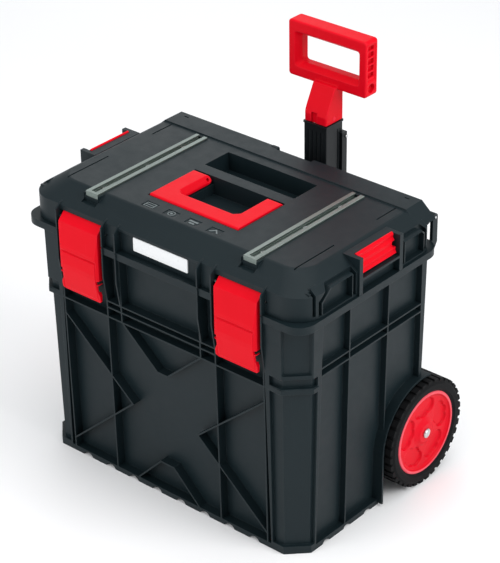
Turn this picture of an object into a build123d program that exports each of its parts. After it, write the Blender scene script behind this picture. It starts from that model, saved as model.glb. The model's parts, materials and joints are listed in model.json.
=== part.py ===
"""Rolling tool box: tapered ribbed tub, hinged lid with accessory rails and a
folding carry handle, two draw latches, two stacking clips, a two-stage pull
handle and two treaded wheels on a steel axle.

All sizes are millimetres, +Z up. X runs across the box (+X is the box's own
left-hand side when seen from behind, the right-hand side seen from the front),
-Y is the front (latches), +Y the back (pull handle). z = 0 is the floor.
"""
import math
import os

from build123d import *

os.makedirs("parts", exist_ok=True)

# ---------------------------------------------------------------- driving sizes
# tub envelope at the floor, and its draft
tub_hw = 252.0            # half width at the floor
tub_front = -287.6        # front plane at the floor
tub_back = 5.0            # back plane at the floor
tub_draft = 1.0           # degrees per side
chamfer_front = 28.2      # vertical corner chamfer, front
chamfer_back = 14.0
panel_front = 15.0        # depth of the front panel behind its ribs
panel_side = 10.0
panel_back = 6.0
wall = 3.5                # tub wall
floor_z0, floor_z1 = 5.0, 9.0
flange_z0, flange_z1 = 383.0, 394.4
flange_hw, flange_front, flange_back = 266.0, -297.0, 18.0
rib_t = 2.4

# lid
lid_z0 = 395.0
lid_hw, lid_front, lid_back = 262.0, -290.0, 15.0
lid_shoulder = 432.0
lid_top = 454.0
lid_wall = 3.2

# wheels
wheel_y, wheel_z = -11.0, 87.0
tyre_r, tyre_base_r, rim_r = 87.0, 84.0, 67.0
tyre_x0, tyre_x1 = 215.0, 272.0
well_r = 91.0
well_y = -102.0
well_x = 208.0
axle_r = 6.0
fit = 0.05                # radial running clearance

# latches
latch_x, latch_hw = 150.0, 38.7
latch_py, latch_pz = -290.0, 413.0
pocket_in, pocket_out = 104.3, 195.0

# rails
rail_x, rail_w = 150.0, 22.9
rail_y0, rail_y1 = -267.6, -29.3
rail_top = 456.6

# lid handle
uh_hw, uh_in = 84.0, 52.0
uh_front, uh_bar, uh_end = -216.3, -182.0, -117.0
uh_z0, uh_z1 = 443.0, 456.0

# pull handle
mast_hw, mast_y0, mast_y1 = 21.4, 56.6, 97.0
mast_top, mast_bot = 489.5, 150.0
loop_hw, loop_z0, loop_z1 = 73.5, 541.0, 631.0
loop_y0, loop_y1 = 84.0, 112.0

# hinge
hinge_y, hinge_z = 24.0, 430.0

TAN = math.tan(math.radians(tub_draft))


def corner_outline(hw, front, back, cf, cb):
    """Rectangle with chamfered vertical corners, as a closed point list."""
    return [(-hw + cf, front), (hw - cf, front), (hw, front + cf), (hw, back - cb),
            (hw - cb, back), (-hw + cb, back), (-hw, back - cb), (-hw, front + cf),
            (-hw + cf, front)]


shift_y = 94.1            # puts the origin under the middle of the whole piece


def save(bp, label):
    """Writes one finished piece, moved so the shared origin is the footprint centre."""
    placed = bp.part.moved(Location((0, shift_y, 0)))
    placed.label = label
    bp.part.label = label
    export_step(placed, "parts/" + label + ".step")


# ---------------------------------------------------------------- tub: rib field
front_face = Plane(origin=(0, -330, 0), x_dir=(1, 0, 0), z_dir=(0, -1, 0))
rib_depth = -(70.0)       # ribs reach from the front back past the panel


def rib_line(pts, t=rib_t):
    """Closed outline of a straight rib of thickness t from pts[0] to pts[1]."""
    (x0, z0), (x1, z1) = pts
    dx, dz = x1 - x0, z1 - z0
    n = math.hypot(dx, dz)
    nx, nz = -dz / n * t / 2, dx / n * t / 2
    ex, ez = dx / n * t / 2, dz / n * t / 2
    return [(x0 - ex + nx, z0 - ez + nz), (x1 + ex + nx, z1 + ez + nz),
            (x1 + ex - nx, z1 + ez - nz), (x0 - ex - nx, z0 - ez - nz),
            (x0 - ex + nx, z0 - ez + nz)]


front_ribs = []
for s in (-1, 1):
    front_ribs += [
        ((s * 193.8, 2), (s * 193.8, 384)),
        ((s * 104.6, 2), (s * 104.6, 384)),
        ((s * 76.5, 277), (s * 76.5, 384)),
        ((s * 193.8, 251), (s * 64.5, 139.5)),
        ((s * 64.5, 139.5), (s * 193.8, 24)),
        ((s * 76.5, 277), (s * 10, 218)),
        ((s * 13, 58.5), (s * 66, 4)),
    ]
front_ribs += [((-10, 218), (10, 218)), ((-13, 58.5), (13, 58.5)),
               ((-222, 277), (222, 277)), ((-104, 293.5), (104, 293.5)),
               ((-104, 304), (104, 304))]

with BuildPart() as rib_field:
    with BuildSketch(Plane.XZ.offset(262.0)):
        for r in front_ribs:
            with BuildLine():
                Polyline(*rib_line(r))
            make_face()
    extrude(amount=50)
    # side ribs, both sides
    with BuildSketch(Plane.YZ.offset(-300.0)):
        for r in [((-182, 2), (-182, 384)), ((-94.5, 100), (-94.5, 384)),
                  ((-247, 308), (-6, 308)), ((-247, 295), (-6, 295))]:
            with BuildLine():
                Polyline(*rib_line(r))
            make_face()
    extrude(amount=600)
    # back ribs
    with BuildSketch(Plane.XZ.offset(-30.0)):
        for x in (-200, -140, -90, 90, 140, 200):
            with Locations((x, 250)):
                Rectangle(rib_t, 264)
        with Locations((0, 306)):
            Rectangle(440, rib_t)
        with Locations((0, 200)):
            Rectangle(440, rib_t)
    extrude(amount=40)

with BuildPart() as envelope:
    with BuildSketch():
        with BuildLine():
            Polyline(*corner_outline(tub_hw, tub_front, tub_back, chamfer_front, chamfer_back))
        make_face()
    extrude(amount=flange_z0, taper=-tub_draft)
    add(rib_field.part, mode=Mode.INTERSECT)

# ---------------------------------------------------------------- tub cavity
cav_hw = tub_hw - panel_side - wall
cav_front = tub_front + panel_front + wall
cav_back = tub_back - panel_back - wall
with BuildPart() as cavity:
    with BuildSketch(Plane.XY.offset(floor_z1)):
        with BuildLine():
            Polyline(*corner_outline(cav_hw, cav_front, cav_back, 22, 14))
        make_face()
    extrude(amount=flange_z1 - floor_z1 + 2, taper=-tub_draft)
    fillet(cavity.faces().sort_by(Axis.Z)[0].edges(), 5)
    # raised interior over each wheel well
    with BuildSketch(Plane.YZ.offset(-300.0)):
        with Locations((wheel_y, wheel_z)):
            Circle(well_r + wall)
        with Locations(((well_y - wall + 60) / 2, wheel_z / 2 - 10)):
            Rectangle(60 - (well_y - wall), wheel_z + 20)
    extrude(amount=300 - well_x + 2 + wall + 5, mode=Mode.SUBTRACT)
    with BuildSketch(Plane.YZ.offset(300.0)):
        with Locations((wheel_y, wheel_z)):
            Circle(well_r + wall)
        with Locations(((well_y - wall + 60) / 2, wheel_z / 2 - 10)):
            Rectangle(60 - (well_y - wall), wheel_z + 20)
    extrude(amount=-(300 - well_x + 2 + wall + 5), mode=Mode.SUBTRACT)
    # raised interior over the axle channel
    with Locations((0, -39.5, -10)):
        Box(430, 100, 129.5, align=(Align.CENTER, Align.MIN, Align.MIN), mode=Mode.SUBTRACT)

# ---------------------------------------------------------------- tub
with BuildPart() as tub:
    # panel core
    with BuildSketch():
        with BuildLine():
            Polyline(*corner_outline(tub_hw - panel_side, tub_front + panel_front,
                                     tub_back - panel_back, 25, 14))
        make_face()
    extrude(amount=flange_z0, taper=-tub_draft)
    # corner columns, flush with the ribs
    for s in (-1, 1):
        with BuildSketch():
            with BuildLine():
                Polyline((s * 201, tub_front), (s * (tub_hw - chamfer_front), tub_front),
                         (s * tub_hw, tub_front + chamfer_front), (s * tub_hw, -249),
                         (s * 236, -249), (s * 201, -262), (s * 201, tub_front))
            make_face()
            with BuildLine():
                Polyline((s * 205, tub_back), (s * (tub_hw - chamfer_back), tub_back),
                         (s * tub_hw, tub_back - chamfer_back), (s * tub_hw, -11),
                         (s * 236, -11), (s * 205, -8), (s * 205, tub_back))
            make_face()
        extrude(amount=flange_z0, taper=0)
    # draft wedge so the columns meet the drafted envelope
    with BuildSketch():
        with BuildLine():
            Polyline(*corner_outline(tub_hw, tub_front, tub_back, chamfer_front, chamfer_back))
        make_face()
        with Locations((0, -141)):
            Rectangle(402, 700, mode=Mode.SUBTRACT)
        with Locations((0, -130)):
            Rectangle(700, 238, mode=Mode.SUBTRACT)
    extrude(amount=flange_z0, taper=-tub_draft)
    # base ledge, full footprint, bevelled under
    with BuildSketch():
        with BuildLine():
            Polyline(*corner_outline(tub_hw, tub_front, tub_back, chamfer_front, chamfer_back))
        make_face()
    extrude(amount=floor_z1, taper=-tub_draft)
    # trimmed ribs
    add(envelope.part)
    # front corner columns: skin set back between two border ribs, in three storeys
    for s in (-1, 1):
        for za, zb in ((13.0, 275.0), (284.5, 300.0)):
            for_loft = []
            for z in (za, zb):
                e = z * TAN
                for_loft.append([
                    (s * 203.6, tub_front - 25), (s * 203.6, tub_front - e + 5.5),
                    (s * (tub_hw - chamfer_front - 2.3 + 0.4 * e), tub_front - e + 5.5),
                    (s * (tub_hw + e - 5.5), tub_front + chamfer_front + 2.3 - 0.4 * e),
                    (s * (tub_hw + e - 5.5), -251.8), (s * (tub_hw + 25), -251.8),
                    (s * (tub_hw + 25), tub_front - 25), (s * 203.6, tub_front - 25)])
            with BuildSketch(Plane.XY.offset(za)):
                with BuildLine():
                    Polyline(*for_loft[0])
                make_face()
            with BuildSketch(Plane.XY.offset(zb)):
                with BuildLine():
                    Polyline(*for_loft[1])
                make_face()
            loft(ruled=True, mode=Mode.SUBTRACT)
    # mast mounting pad on the back wall
    with Locations((0, -6, 132)):
        Box(150, 18, 246, align=(Align.CENTER, Align.MIN, Align.MIN))
    # belt around the front corner columns
    for s in (-1, 1):
        with BuildSketch(Plane.XY.offset(276)):
            with BuildLine():
                e = 276 * TAN
                Polyline((s * 199, tub_front - e), (s * (tub_hw - chamfer_front + 0.3 * e), tub_front - e - 1.2),
                         (s * (tub_hw + e + 1.2), tub_front + chamfer_front - 0.3 * e),
                         (s * (tub_hw + e + 1.2), -250), (s * 236, -250), (s * 199, -262),
                         (s * 199, tub_front - e))
            make_face()
        extrude(amount=7)
    # upper latch-pocket ribs and panel ribs, standing proud to the rim
    for s in (-1, 1):
        for x in (s * pocket_in, s * pocket_out, s * 78.5):
            with BuildSketch(Plane.YZ.offset(x - rib_t / 2)):
                with BuildLine():
                    Polyline((-276, 300), (-292.6, 302), (-299, 345), (-299, flange_z1 - 1),
                             (-276, flange_z1 - 1), (-276, 300))
                make_face()
            extrude(amount=rib_t)
    # rim flange
    with BuildSketch(Plane.XY.offset(flange_z0)):
        with Locations((0, (flange_front + flange_back) / 2)):
            RectangleRounded(2 * flange_hw, flange_back - flange_front, 27)
    extrude(amount=flange_z1 - flange_z0)
    # latch pockets: the flange is set back behind each latch
    for s in (-1, 1):
        with Locations((s * (pocket_in + pocket_out) / 2, -288, 340)):
            Box(pocket_out - pocket_in - rib_t, 30, 60, align=(Align.CENTER, Align.MAX, Align.MIN),
                mode=Mode.SUBTRACT)
    # hinge ears
    for s in (-1, 1):
        for x in (201.8, 246.2):
            with BuildSketch(Plane.YZ.offset(s * x - 2.6)):
                with BuildLine():
                    Polyline((10, flange_z0), (18, flange_z0 - 14), (30, flange_z0 + 6), (30, hinge_z),
                             (18.6, hinge_z), (18.6, flange_z1), (10, flange_z1), (10, flange_z0))
                make_face()
                with Locations((hinge_y, hinge_z)):
                    Circle(6)
            extrude(amount=5.2)
    # interior
    add(cavity.part, mode=Mode.SUBTRACT)
    # seal groove in the rim
    with BuildSketch(Plane.XY.offset(flange_z1)):
        with Locations((0, -139)):
            RectangleRounded(508, 282, 24)
            RectangleRounded(500, 274, 20, mode=Mode.SUBTRACT)
    extrude(amount=-3, mode=Mode.SUBTRACT)
    # shallow pocket in the upper half of each front corner column
    for s in (-1, 1):
        with BuildSketch(Plane.XY.offset(306)):
            with BuildLine():
                Polyline((s * 226, -320), (s * 226, -287.5), (s * 250.5, -263), (s * 290, -263),
                         (s * 290, -320), (s * 226, -320))
            make_face()
        extrude(amount=flange_z0 - 306 - 3, mode=Mode.SUBTRACT)
    # wheel wells, arch fenders and the axle channel
    for s in (-1, 1):
        with BuildSketch(Plane.YZ.offset(s * well_x)):
            with Locations((wheel_y, wheel_z)):
                Circle(well_r)
            with Locations(((well_y + 100) / 2, wheel_z / 2 - 10)):
                Rectangle(100 - well_y, wheel_z + 20)
        extrude(amount=s * 60, mode=Mode.SUBTRACT)
    with Locations((0, -36, -1)):
        Box(406, 90, 117, align=(Align.CENTER, Align.MIN, Align.MIN), mode=Mode.SUBTRACT)
    # arch lips
    for s in (-1, 1):
        with BuildSketch(Plane.YZ.offset(s * 236)):
            with Locations((wheel_y, wheel_z)):
                Circle(well_r + 3.2)
            with Locations(((well_y - 3.2 + wheel_y) / 2, wheel_z / 2 + 2)):
                Rectangle(wheel_y - well_y + 3.2, wheel_z - 4)
            with Locations((wheel_y, wheel_z)):
                Circle(well_r, mode=Mode.SUBTRACT)
            with Locations(((well_y + 120) / 2, wheel_z / 2 - 10)):
                Rectangle(120 - well_y, wheel_z + 20, mode=Mode.SUBTRACT)
            with Locations((60, 100)):
                Rectangle(104, 240, mode=Mode.SUBTRACT)
        extrude(amount=s * 25)
    # scalloped lower edge, front ledge
    for i in range(8):
        with BuildSketch(Plane.XZ.offset(-(tub_front + 16))):
            with Locations((-168 + i * 48, -4)):
                Circle(10.5)
        extrude(amount=30, mode=Mode.SUBTRACT)
    # same arches along both side ledges
    for y in (-225, -177, -129):
        with BuildSketch(Plane.YZ.offset(-300)):
            with Locations((y, -4)):
                Circle(9)
        extrude(amount=66, mode=Mode.SUBTRACT)
        with BuildSketch(Plane.YZ.offset(234)):
            with Locations((y, -4)):
                Circle(9)
        extrude(amount=66, mode=Mode.SUBTRACT)
    # bore for the axle through both well walls
    with BuildSketch(Plane.YZ.offset(-230)):
        with Locations((wheel_y, wheel_z)):
            Circle(axle_r + fit)
    extrude(amount=460, mode=Mode.SUBTRACT)
    # hinge-pin bores
    with BuildSketch(Plane.YZ.offset(-260)):
        with Locations((hinge_y, hinge_z)):
            Circle(2 + fit)
    extrude(amount=520, mode=Mode.SUBTRACT)
save(tub, "tub")


# ---------------------------------------------------------------- lid
def lid_block(inset, z0, z1):
    """Lid form: straight skirt to the shoulder, then sloping up to the top."""
    with BuildPart() as blk:
        with BuildSketch(Plane.XY.offset(z0)):
            with Locations((0, (lid_front + lid_back) / 2)):
                RectangleRounded(2 * (lid_hw - inset), lid_back - lid_front - 2 * inset, 42 - inset)
        extrude(amount=lid_shoulder - z0)
        with BuildSketch(Plane.XY.offset(lid_shoulder)):
            with Locations((0, (lid_front + lid_back) / 2)):
                RectangleRounded(2 * (lid_hw - inset), lid_back - lid_front - 2 * inset, 42 - inset)
        with BuildSketch(Plane.XY.offset(z1)):
            with Locations((0, (-253 + 12) / 2)):
                RectangleRounded(2 * (232 - inset), 265 - 2 * inset, 34 - inset)
        loft(ruled=True)
    return blk.part


with BuildPart() as lid_shell:
    add(lid_block(0, lid_z0, lid_top))
    # soften shoulder and top edge
    fillet(lid_shell.edges().group_by(Axis.Z)[-1], 9)
    # rear accessory ledge with bevelled front and ends
    with BuildSketch(Plane.XY.offset(lid_top - 20)):
        with Locations((0, -6)):
            Rectangle(512, 42)
    with BuildSketch(Plane.XY.offset(456.2)):
        with Locations((0, -4.2)):
            Rectangle(462, 37.6)
    loft(ruled=True)
    # hollow below
    add(lid_block(lid_wall, lid_z0 - 1, lid_top - lid_wall), mode=Mode.SUBTRACT)
    # wells: handle tray, finger well, rear pocket (blocks first, voids below)
    with Locations((0, -166.5, 437.6)):
        Box(2 * uh_hw + 10, 108, 14, align=(Align.CENTER, Align.CENTER, Align.MIN))
    with Locations((0, -150, 421.6)):
        Box(2 * uh_in + 5, 75, 30, align=(Align.CENTER, Align.CENTER, Align.MIN))
    with Locations((0, -68.6, 421.6)):
        Box(176.5, 58.6, 30, align=(Align.CENTER, Align.CENTER, Align.MIN))
    # linings behind the skirt recesses
    for s in (-1, 1):
        with Locations((s * (pocket_in + pocket_out) / 2, -287.5, lid_z0)):
            Box(pocket_out - pocket_in + 5, 12.7, 33, align=(Align.CENTER, Align.MIN, Align.MIN))
        with BuildSketch(Plane.XZ.offset(9)):
            with BuildLine():
                Polyline((s * 248.5, lid_z0), (s * 259, lid_z0), (s * 259, 432.5), (s * 249.5, 440.5),
                         (s * 248.5, 440.5), (s * 248.5, lid_z0))
            make_face()
        extrude(amount=253)
        with Locations((s * 250, -263.5, lid_z0)):
            Box(10, 11, 41, align=(Align.CENTER, Align.CENTER, Align.MIN))
        with BuildSketch(Plane.YZ.offset(s * rail_x - (rail_w + 12) / 2)):
            with BuildLine():
                Polyline((-288, 430), (-288, 433), (-256, 452), (-256, 435), (-288, 430))
            make_face()
        extrude(amount=rail_w + 12)
    with Locations((0, -287.5, lid_z0)):
        Box(162, 5.1, 36, align=(Align.CENTER, Align.MIN, Align.MIN))
    # seats for the two rails
    for s in (-1, 1):
        with Locations((s * rail_x, (rail_y0 + rail_y1) / 2, 445.2)):
            Box(rail_w + 6, rail_y1 - rail_y0 + 4, 8, align=(Align.CENTER, Align.CENTER, Align.MIN))
    # side bosses for the stacking clips
    for s in (-1, 1):
        with Locations((s * 251, -124, lid_z0)):
            Box(30, 98, 57, align=(Align.CENTER, Align.CENTER, Align.MIN))
    # latch-pocket and label ribs
    for s in (-1, 1):
        for x in (s * pocket_in, s * pocket_out, s * 78.5):
            with BuildSketch(Plane.YZ.offset(x - rib_t / 2)):
                with BuildLine():
                    Polyline((-270, lid_z0), (-299, lid_z0), (-299, 426), (-290, 434), (-270, 440),
                             (-270, lid_z0))
                make_face()
            extrude(amount=rib_t)
    # hinge knuckles
    for s in (-1, 1):
        with BuildSketch(Plane.YZ.offset(s * 224 - 19.2)):
            with BuildLine():
                Polyline((13, 420), (24, 424), (24, 436), (13, 440), (13, 420))
            make_face()
            with Locations((hinge_y, hinge_z)):
                Circle(6)
        extrude(amount=38.4)
    # handle tray
    with Locations((0, -166.6, 440.6)):
        Box(2 * uh_hw + 4, 103, 30, align=(Align.CENTER, Align.CENTER, Align.MIN), mode=Mode.SUBTRACT)
    # finger well
    with Locations((0, -150, 424.6)):
        Box(2 * uh_in - 2, 70, 40, align=(Align.CENTER, Align.CENTER, Align.MIN), mode=Mode.SUBTRACT)
    # rear pocket
    with Locations((0, -68.6, 424.6)):
        Box(171, 53.1, 40, align=(Align.CENTER, Align.CENTER, Align.MIN), mode=Mode.SUBTRACT)
    # rail seats
    for s in (-1, 1):
        with Locations((s * rail_x, (rail_y0 + rail_y1) / 2, 448.2)):
            Box(rail_w + 0.6, rail_y1 - rail_y0 + 0.6, 20,
                align=(Align.CENTER, Align.CENTER, Align.MIN), mode=Mode.SUBTRACT)
        # relief in front of each rail
        with Locations((s * rail_x, rail_y0 - 0.2, 439.5)):
            Box(rail_w + 5, 30, 30, align=(Align.CENTER, Align.MAX, Align.MIN), mode=Mode.SUBTRACT)
        with Locations((s * rail_x, rail_y0, 439.5)):
            Box(rail_w + 0.6, 4.4, 30, align=(Align.CENTER, Align.MIN, Align.MIN), mode=Mode.SUBTRACT)
    # latch pockets in the front skirt
    for s in (-1, 1):
        with Locations((s * (pocket_in + pocket_out) / 2, -278, lid_z0 - 1)):
            Box(pocket_out - pocket_in - rib_t, 40, 30.2, align=(Align.CENTER, Align.MAX, Align.MIN),
                mode=Mode.SUBTRACT)
    # label recess
    with Locations((0, -285.6, lid_z0 - 1)):
        Box(2 * 78.5 - rib_t, 20, 34, align=(Align.CENTER, Align.MAX, Align.MIN), mode=Mode.SUBTRACT)
    # clip recess between the boss flanks
    for s in (-1, 1):
        with Locations((s * 249.4, -124, 419.6)):
            Box(40, 83, 50, align=(Align.MIN if s > 0 else Align.MAX, Align.CENTER, Align.MIN),
                mode=Mode.SUBTRACT)
        with Locations((s * 255.5, -124, lid_z0 - 1)):
            Box(40, 83, 22, align=(Align.MIN if s > 0 else Align.MAX, Align.CENTER, Align.MIN),
                mode=Mode.SUBTRACT)
    # side pockets with an upstanding outline rib
    for s in (-1, 1):
        with BuildSketch(Plane.YZ.offset(s * 252)):
            with BuildLine():
                Polyline((-256, 398), (-176, 398), (-176, 441), (-232, 441), (-256, 421), (-256, 398))
            make_face()
            with BuildLine():
                Polyline((-72, 398), (-12, 398), (-12, 430), (-22, 441), (-72, 441), (-72, 398))
            make_face()
            with BuildLine():
                Polyline((-250, 398), (-182, 398), (-182, 434), (-230, 434), (-250, 417), (-250, 398))
            make_face(mode=Mode.SUBTRACT)
            with BuildLine():
                Polyline((-248, 398), (-184, 398), (-184, 432), (-229, 432), (-248, 416), (-248, 398))
            make_face()
            with BuildLine():
                Polyline((-66, 398), (-18, 398), (-18, 427), (-25, 434), (-66, 434), (-66, 398))
            make_face(mode=Mode.SUBTRACT)
            with BuildLine():
                Polyline((-64, 398), (-20, 398), (-20, 426), (-26, 432), (-64, 432), (-64, 398))
            make_face()
        extrude(amount=s * 20, mode=Mode.SUBTRACT)
        # corner slot
        with Locations((s * 250, -263, 400)):
            Box(30, 5, 60, align=(Align.MIN if s > 0 else Align.MAX, Align.CENTER, Align.MIN),
                mode=Mode.SUBTRACT)
    # slots in the top
    for s in (-1, 1):
        with Locations((s * 215, -208.5, 451.4)):
            Box(2.4, 86, 10, align=(Align.CENTER, Align.CENTER, Align.MIN), mode=Mode.SUBTRACT)
        with Locations((s * 215, -48, 451.4)):
            Box(2.4, 44, 10, align=(Align.CENTER, Align.CENTER, Align.MIN), mode=Mode.SUBTRACT)
        with Locations((s * 212, 5, 453)):
            Box(9, 2.4, 10, align=(Align.CENTER, Align.CENTER, Align.MIN), mode=Mode.SUBTRACT)
    # clearance notch for the pull handle in the rear edge
    with Locations((0, 6.5, 451.5)):
        Box(66, 30, 30, align=(Align.CENTER, Align.MIN, Align.MIN), mode=Mode.SUBTRACT)
    with Locations((-40, 10, 452)):
        Box(11, 4.6, 5, align=(Align.CENTER, Align.MIN, Align.MIN))
    # shallow icon recesses
    with Locations((-61.5, -239, 453.2), (-20.5, -239, 453.2), (20.5, -239, 453.2), (61.5, -239, 453.2)):
        Box(23, 15, 3, align=(Align.CENTER, Align.CENTER, Align.MIN), mode=Mode.SUBTRACT)
    # bores: hinge pins, latch pins, lid-handle pins, clip pins
    with BuildSketch(Plane.YZ.offset(-260)):
        with Locations((hinge_y, hinge_z)):
            Circle(2 + fit)
    extrude(amount=520, mode=Mode.SUBTRACT)
    for s in (-1, 1):
        with BuildSketch(Plane.YZ.offset(s * (pocket_in + pocket_out) / 2 - 50)):
            with Locations((latch_py, latch_pz)):
                Circle(2 + fit)
        extrude(amount=100, mode=Mode.SUBTRACT)
        with BuildSketch(Plane.YZ.offset(s * 83 - 7)):
            with Locations((-123.5, 449.5)):
                Circle(2.5 + fit)
        extrude(amount=14, mode=Mode.SUBTRACT)
        with BuildSketch(Plane.XZ.offset(124 - 48)):
            with Locations((s * 256, 424)):
                Circle(1.5 + fit)
        extrude(amount=96, mode=Mode.SUBTRACT)
save(lid_shell, "lid_shell")


# ---------------------------------------------------------------- lid seal
with BuildPart() as lid_seal:
    with BuildSketch(Plane.XY.offset(flange_z1 - 3)):
        with Locations((0, -139)):
            RectangleRounded(507.6, 281.6, 23.8)
            RectangleRounded(500.4, 274.4, 20.2, mode=Mode.SUBTRACT)
    extrude(amount=3.2)
save(lid_seal, "lid_seal")

# ---------------------------------------------------------------- rails
for side, s in (("left", -1), ("right", 1)):
    with BuildPart() as rail:
        with Locations((s * rail_x, (rail_y0 + rail_y1) / 2, 448.2)):
            Box(rail_w, rail_y1 - rail_y0, rail_top - 448.2,
                align=(Align.CENTER, Align.CENTER, Align.MIN))
        with Locations((s * rail_x, rail_y0, 439.8)):
            Box(rail_w, 3.6, 12, align=(Align.CENTER, Align.MIN, Align.MIN))
        fillet(rail.edges().filter_by(Axis.Y).group_by(Axis.Z)[-1], 0.8)
        # undercut T groove, open at the top
        with Locations((s * rail_x, (rail_y0 + rail_y1) / 2 + 4, 450.6)):
            Box(14.6, rail_y1 - rail_y0, 3.4, align=(Align.CENTER, Align.CENTER, Align.MIN),
                mode=Mode.SUBTRACT)
        with Locations((s * rail_x, (rail_y0 + rail_y1) / 2 + 4, 453)):
            Box(9.4, rail_y1 - rail_y0, 6, align=(Align.CENTER, Align.CENTER, Align.MIN),
                mode=Mode.SUBTRACT)
        # fixing holes in the groove floor
        with Locations(*[(s * rail_x, y, 445) for y in (-240, -148.5, -70)]):
            Cylinder(2.1, 8, align=(Align.CENTER, Align.CENTER, Align.MIN), mode=Mode.SUBTRACT)
    save(rail, "rail_" + side)

with BuildPart() as rail_screws:
    for s in (-1, 1):
        for y in (-240, -148.5, -70):
            with Locations((s * rail_x, y, 448.2)):
                Cylinder(2.0, 2.4, align=(Align.CENTER, Align.CENTER, Align.MIN))
            with Locations((s * rail_x, y, 450.6)):
                Cylinder(3.6, 1.9, align=(Align.CENTER, Align.CENTER, Align.MIN))
            with Locations((s * rail_x, y, 451.4)):
                Box(4.6, 1.0, 2, align=(Align.CENTER, Align.CENTER, Align.MIN), mode=Mode.SUBTRACT)
                Box(1.0, 4.6, 2, align=(Align.CENTER, Align.CENTER, Align.MIN), mode=Mode.SUBTRACT)
save(rail_screws, "rail_screws")

# ---------------------------------------------------------------- lid handle
uh_py, uh_pz = -123.5, 449.5
with BuildPart() as lid_handle:
    with BuildSketch(Plane.XY.offset(uh_z0)):
        with BuildLine():
            Polyline((-uh_hw, uh_front), (uh_hw, uh_front), (uh_hw, uh_end), (uh_in, uh_end),
                     (uh_in, uh_bar + 8), (uh_in - 8, uh_bar), (-uh_in + 8, uh_bar), (-uh_in, uh_bar + 8),
                     (-uh_in, uh_end), (-uh_hw, uh_end), (-uh_hw, uh_front))
        make_face()
    extrude(amount=uh_z1 - uh_z0)
    # rounded leg ends about the pivot
    fillet(lid_handle.edges().filter_by(Axis.X).group_by(Axis.Y)[-1], 6.4)
    # bevelled inner top edges
    with BuildSketch(Plane.XY.offset(uh_z1 - 9)):
        with BuildLine():
            Polyline((-uh_in, uh_end + 12), (-uh_in, uh_bar + 8), (-uh_in + 8, uh_bar), (uh_in - 8, uh_bar),
                     (uh_in, uh_bar + 8), (uh_in, uh_end + 12), (-uh_in, uh_end + 12))
        make_face()
    with BuildSketch(Plane.XY.offset(uh_z1)):
        with BuildLine():
            Polyline((-uh_in - 6, uh_end + 12), (-uh_in - 6, uh_bar + 2), (-uh_in + 2, uh_bar - 6),
                     (uh_in - 2, uh_bar - 6), (uh_in + 6, uh_bar + 2), (uh_in + 6, uh_end + 12),
                     (-uh_in - 6, uh_end + 12))
        make_face()
    loft(ruled=True, mode=Mode.SUBTRACT)
    chamfer(lid_handle.edges().filter_by(Axis.X).group_by(Axis.Y)[0].sort_by(Axis.Z)[-1], 2.0)
    with BuildSketch(Plane.YZ.offset(-100)):
        with Locations((uh_py, uh_pz)):
            Circle(2.5 + fit)
    extrude(amount=200, mode=Mode.SUBTRACT)
    # ribbed underside pocket of the grip
    with Locations(*[(x, (uh_front + uh_bar) / 2, uh_z0 - 1) for x in (-54, -27, 0, 27, 54)]):
        Box(22, 24, 6, align=(Align.CENTER, Align.CENTER, Align.MIN), mode=Mode.SUBTRACT)
save(lid_handle, "lid_handle")

with BuildPart() as lid_handle_pins:
    for s in (-1, 1):
        with BuildSketch(Plane.YZ.offset(s * 79.5 - 9.5)):
            with Locations((uh_py, uh_pz)):
                Circle(2.5)
        extrude(amount=19)
save(lid_handle_pins, "lid_handle_pins")

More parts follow.
